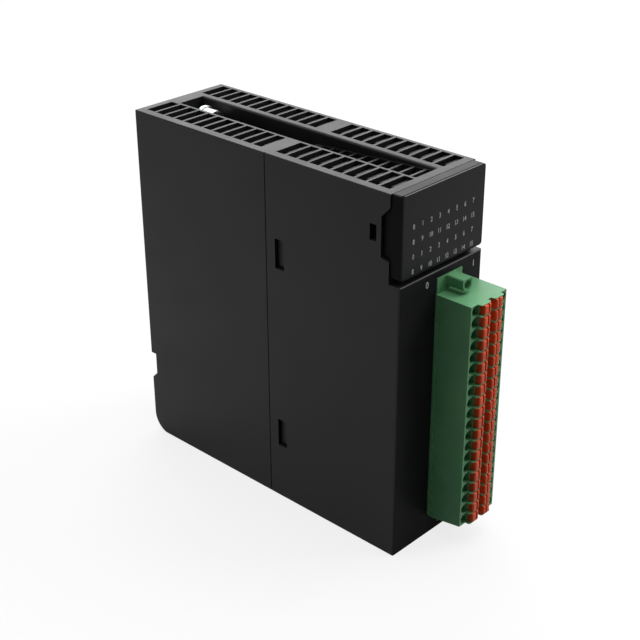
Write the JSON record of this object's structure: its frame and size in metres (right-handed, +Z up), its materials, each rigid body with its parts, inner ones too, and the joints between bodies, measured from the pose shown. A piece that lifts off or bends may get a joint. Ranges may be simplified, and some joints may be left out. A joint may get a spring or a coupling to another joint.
{
  "type": "plc output module",
  "caption": "Slim black rack module with a vented housing, an indicator display, a captive fixing screw in a top channel and a green pull-off plug of push-in terminals.",
  "frame": {"origin": "centre of the underside of the whole part's box, with the plug seated and the buttons released", "axes": "+Z up, -Y out of the terminal face, +Y towards the rack, +X to the right seen from the front"},
  "size_m": [0.035, 0.1164, 0.11],
  "materials": {
    "housing_plastic": "satin",
    "cover_plastic": "matte",
    "lens_plastic": "gloss",
    "clear_plastic": "clear",
    "lamp_plastic": "gloss",
    "circuit_board": "satin",
    "chip_plastic": "matte",
    "contact_metal": "satin",
    "plug_plastic": "satin",
    "button_plastic": "satin",
    "screw_steel": "plated"
  },
  "bodies": {
    "module": {"rear_housing": "housing_plastic", "front_housing": "housing_plastic", "display_cover": "cover_plastic", "display_lens": "lens_plastic", "light_guide": "clear_plastic", "indicator_lamps": "lamp_plastic", "display_board": "circuit_board", "main_board": "circuit_board", "output_drivers": "chip_plastic", "bus_connector": "cover_plastic", "bus_contacts": "contact_metal", "terminal_header": "cover_plastic", "header_pins": "contact_metal"},
    "plug": {"plug_body": "plug_plastic", "plug_back": "plug_plastic", "clamp_contacts": "contact_metal"},
    "plug_screw_upper": {"plug_screw_upper": "screw_steel"},
    "plug_screw_lower": {"plug_screw_lower": "screw_steel"},
    "fixing_washer": {"fixing_washer": "screw_steel"},
    "fixing_screw": {"fixing_screw": "screw_steel"},
    "release_button_left_01": {"release_button_left_01": "button_plastic"},
    "release_button_left_02": {"release_button_left_02": "button_plastic"},
    "release_button_left_03": {"release_button_left_03": "button_plastic"},
    "release_button_left_04": {"release_button_left_04": "button_plastic"},
    "release_button_left_05": {"release_button_left_05": "button_plastic"},
    "release_button_left_06": {"release_button_left_06": "button_plastic"},
    "release_button_left_07": {"release_button_left_07": "button_plastic"},
    "release_button_left_08": {"release_button_left_08": "button_plastic"},
    "release_button_left_09": {"release_button_left_09": "button_plastic"},
    "release_button_left_10": {"release_button_left_10": "button_plastic"},
    "release_button_left_11": {"release_button_left_11": "button_plastic"},
    "release_button_left_12": {"release_button_left_12": "button_plastic"},
    "release_button_left_13": {"release_button_left_13": "button_plastic"},
    "release_button_left_14": {"release_button_left_14": "button_plastic"},
    "release_button_left_15": {"release_button_left_15": "button_plastic"},
    "release_button_left_16": {"release_button_left_16": "button_plastic"},
    "release_button_left_17": {"release_button_left_17": "button_plastic"},
    "release_button_left_18": {"release_button_left_18": "button_plastic"},
    "release_button_left_19": {"release_button_left_19": "button_plastic"},
    "release_button_left_20": {"release_button_left_20": "button_plastic"},
    "release_button_right_01": {"release_button_right_01": "button_plastic"},
    "release_button_right_02": {"release_button_right_02": "button_plastic"},
    "release_button_right_03": {"release_button_right_03": "button_plastic"},
    "release_button_right_04": {"release_button_right_04": "button_plastic"},
    "release_button_right_05": {"release_button_right_05": "button_plastic"},
    "release_button_right_06": {"release_button_right_06": "button_plastic"},
    "release_button_right_07": {"release_button_right_07": "button_plastic"},
    "release_button_right_08": {"release_button_right_08": "button_plastic"},
    "release_button_right_09": {"release_button_right_09": "button_plastic"},
    "release_button_right_10": {"release_button_right_10": "button_plastic"},
    "release_button_right_11": {"release_button_right_11": "button_plastic"},
    "release_button_right_12": {"release_button_right_12": "button_plastic"},
    "release_button_right_13": {"release_button_right_13": "button_plastic"},
    "release_button_right_14": {"release_button_right_14": "button_plastic"},
    "release_button_right_15": {"release_button_right_15": "button_plastic"},
    "release_button_right_16": {"release_button_right_16": "button_plastic"},
    "release_button_right_17": {"release_button_right_17": "button_plastic"},
    "release_button_right_18": {"release_button_right_18": "button_plastic"},
    "release_button_right_19": {"release_button_right_19": "button_plastic"},
    "release_button_right_20": {"release_button_right_20": "button_plastic"}
  },
  "joints": [
    {"name": "plug_pull", "type": "slide", "parent": "module", "child": "plug", "axis": [0, -1, 0], "range_m": [0, 0.025]},
    {"name": "plug_screw_upper_turn", "type": "hinge", "parent": "plug", "child": "plug_screw_upper", "pos_m": [0.00375, -0.04893, 0.08065], "axis": [0, 1, 0], "continuous": true},
    {"name": "plug_screw_lower_turn", "type": "hinge", "parent": "plug", "child": "plug_screw_lower", "pos_m": [0.00775, -0.04893, 0.00355], "axis": [0, 1, 0], "continuous": true},
    {"name": "fixing_screw_drive", "type": "slide", "parent": "module", "child": "fixing_washer", "axis": [0, 1, 0], "range_m": [0, 0.005]},
    {"name": "fixing_screw_turn", "type": "hinge", "parent": "fixing_washer", "child": "fixing_screw", "pos_m": [0.0006, 0.04267, 0.1054], "axis": [0, 1, 0], "range_deg": [0, 2572]},
    {"name": "button_press_left_01", "type": "slide", "parent": "plug", "child": "release_button_left_01", "axis": [0, 1, 0], "range_m": [0, 0.0011], "stiffness_N_per_m": 2000},
    {"name": "button_press_left_02", "type": "slide", "parent": "plug", "child": "release_button_left_02", "axis": [0, 1, 0], "range_m": [0, 0.0011], "stiffness_N_per_m": 2000},
    {"name": "button_press_left_03", "type": "slide", "parent": "plug", "child": "release_button_left_03", "axis": [0, 1, 0], "range_m": [0, 0.0011], "stiffness_N_per_m": 2000},
    {"name": "button_press_left_04", "type": "slide", "parent": "plug", "child": "release_button_left_04", "axis": [0, 1, 0], "range_m": [0, 0.0011], "stiffness_N_per_m": 2000},
    {"name": "button_press_left_05", "type": "slide", "parent": "plug", "child": "release_button_left_05", "axis": [0, 1, 0], "range_m": [0, 0.0011], "stiffness_N_per_m": 2000},
    {"name": "button_press_left_06", "type": "slide", "parent": "plug", "child": "release_button_left_06", "axis": [0, 1, 0], "range_m": [0, 0.0011], "stiffness_N_per_m": 2000},
    {"name": "button_press_left_07", "type": "slide", "parent": "plug", "child": "release_button_left_07", "axis": [0, 1, 0], "range_m": [0, 0.0011], "stiffness_N_per_m": 2000},
    {"name": "button_press_left_08", "type": "slide", "parent": "plug", "child": "release_button_left_08", "axis": [0, 1, 0], "range_m": [0, 0.0011], "stiffness_N_per_m": 2000},
    {"name": "button_press_left_09", "type": "slide", "parent": "plug", "child": "release_button_left_09", "axis": [0, 1, 0], "range_m": [0, 0.0011], "stiffness_N_per_m": 2000},
    {"name": "button_press_left_10", "type": "slide", "parent": "plug", "child": "release_button_left_10", "axis": [0, 1, 0], "range_m": [0, 0.0011], "stiffness_N_per_m": 2000},
    {"name": "button_press_left_11", "type": "slide", "parent": "plug", "child": "release_button_left_11", "axis": [0, 1, 0], "range_m": [0, 0.0011], "stiffness_N_per_m": 2000},
    {"name": "button_press_left_12", "type": "slide", "parent": "plug", "child": "release_button_left_12", "axis": [0, 1, 0], "range_m": [0, 0.0011], "stiffness_N_per_m": 2000},
    {"name": "button_press_left_13", "type": "slide", "parent": "plug", "child": "release_button_left_13", "axis": [0, 1, 0], "range_m": [0, 0.0011], "stiffness_N_per_m": 2000},
    {"name": "button_press_left_14", "type": "slide", "parent": "plug", "child": "release_button_left_14", "axis": [0, 1, 0], "range_m": [0, 0.0011], "stiffness_N_per_m": 2000},
    {"name": "button_press_left_15", "type": "slide", "parent": "plug", "child": "release_button_left_15", "axis": [0, 1, 0], "range_m": [0, 0.0011], "stiffness_N_per_m": 2000},
    {"name": "button_press_left_16", "type": "slide", "parent": "plug", "child": "release_button_left_16", "axis": [0, 1, 0], "range_m": [0, 0.0011], "stiffness_N_per_m": 2000},
    {"name": "button_press_left_17", "type": "slide", "parent": "plug", "child": "release_button_left_17", "axis": [0, 1, 0], "range_m": [0, 0.0011], "stiffness_N_per_m": 2000},
    {"name": "button_press_left_18", "type": "slide", "parent": "plug", "child": "release_button_left_18", "axis": [0, 1, 0], "range_m": [0, 0.0011], "stiffness_N_per_m": 2000},
    {"name": "button_press_left_19", "type": "slide", "parent": "plug", "child": "release_button_left_19", "axis": [0, 1, 0], "range_m": [0, 0.0011], "stiffness_N_per_m": 2000},
    {"name": "button_press_left_20", "type": "slide", "parent": "plug", "child": "release_button_left_20", "axis": [0, 1, 0], "range_m": [0, 0.0011], "stiffness_N_per_m": 2000},
    {"name": "button_press_right_01", "type": "slide", "parent": "plug", "child": "release_button_right_01", "axis": [0, 1, 0], "range_m": [0, 0.0011], "stiffness_N_per_m": 2000},
    {"name": "button_press_right_02", "type": "slide", "parent": "plug", "child": "release_button_right_02", "axis": [0, 1, 0], "range_m": [0, 0.0011], "stiffness_N_per_m": 2000},
    {"name": "button_press_right_03", "type": "slide", "parent": "plug", "child": "release_button_right_03", "axis": [0, 1, 0], "range_m": [0, 0.0011], "stiffness_N_per_m": 2000},
    {"name": "button_press_right_04", "type": "slide", "parent": "plug", "child": "release_button_right_04", "axis": [0, 1, 0], "range_m": [0, 0.0011], "stiffness_N_per_m": 2000},
    {"name": "button_press_right_05", "type": "slide", "parent": "plug", "child": "release_button_right_05", "axis": [0, 1, 0], "range_m": [0, 0.0011], "stiffness_N_per_m": 2000},
    {"name": "button_press_right_06", "type": "slide", "parent": "plug", "child": "release_button_right_06", "axis": [0, 1, 0], "range_m": [0, 0.0011], "stiffness_N_per_m": 2000},
    {"name": "button_press_right_07", "type": "slide", "parent": "plug", "child": "release_button_right_07", "axis": [0, 1, 0], "range_m": [0, 0.0011], "stiffness_N_per_m": 2000},
    {"name": "button_press_right_08", "type": "slide", "parent": "plug", "child": "release_button_right_08", "axis": [0, 1, 0], "range_m": [0, 0.0011], "stiffness_N_per_m": 2000},
    {"name": "button_press_right_09", "type": "slide", "parent": "plug", "child": "release_button_right_09", "axis": [0, 1, 0], "range_m": [0, 0.0011], "stiffness_N_per_m": 2000},
    {"name": "button_press_right_10", "type": "slide", "parent": "plug", "child": "release_button_right_10", "axis": [0, 1, 0], "range_m": [0, 0.0011], "stiffness_N_per_m": 2000},
    {"name": "button_press_right_11", "type": "slide", "parent": "plug", "child": "release_button_right_11", "axis": [0, 1, 0], "range_m": [0, 0.0011], "stiffness_N_per_m": 2000},
    {"name": "button_press_right_12", "type": "slide", "parent": "plug", "child": "release_button_right_12", "axis": [0, 1, 0], "range_m": [0, 0.0011], "stiffness_N_per_m": 2000},
    {"name": "button_press_right_13", "type": "slide", "parent": "plug", "child": "release_button_right_13", "axis": [0, 1, 0], "range_m": [0, 0.0011], "stiffness_N_per_m": 2000},
    {"name": "button_press_right_14", "type": "slide", "parent": "plug", "child": "release_button_right_14", "axis": [0, 1, 0], "range_m": [0, 0.0011], "stiffness_N_per_m": 2000},
    {"name": "button_press_right_15", "type": "slide", "parent": "plug", "child": "release_button_right_15", "axis": [0, 1, 0], "range_m": [0, 0.0011], "stiffness_N_per_m": 2000},
    {"name": "button_press_right_16", "type": "slide", "parent": "plug", "child": "release_button_right_16", "axis": [0, 1, 0], "range_m": [0, 0.0011], "stiffness_N_per_m": 2000},
    {"name": "button_press_right_17", "type": "slide", "parent": "plug", "child": "release_button_right_17", "axis": [0, 1, 0], "range_m": [0, 0.0011], "stiffness_N_per_m": 2000},
    {"name": "button_press_right_18", "type": "slide", "parent": "plug", "child": "release_button_right_18", "axis": [0, 1, 0], "range_m": [0, 0.0011], "stiffness_N_per_m": 2000},
    {"name": "button_press_right_19", "type": "slide", "parent": "plug", "child": "release_button_right_19", "axis": [0, 1, 0], "range_m": [0, 0.0011], "stiffness_N_per_m": 2000},
    {"name": "button_press_right_20", "type": "slide", "parent": "plug", "child": "release_button_right_20", "axis": [0, 1, 0], "range_m": [0, 0.0011], "stiffness_N_per_m": 2000}
  ],
  "couplings": [
    {"joint": "fixing_screw_turn", "follows": "fixing_screw_drive", "rad_per_m": 8976}
  ]
}
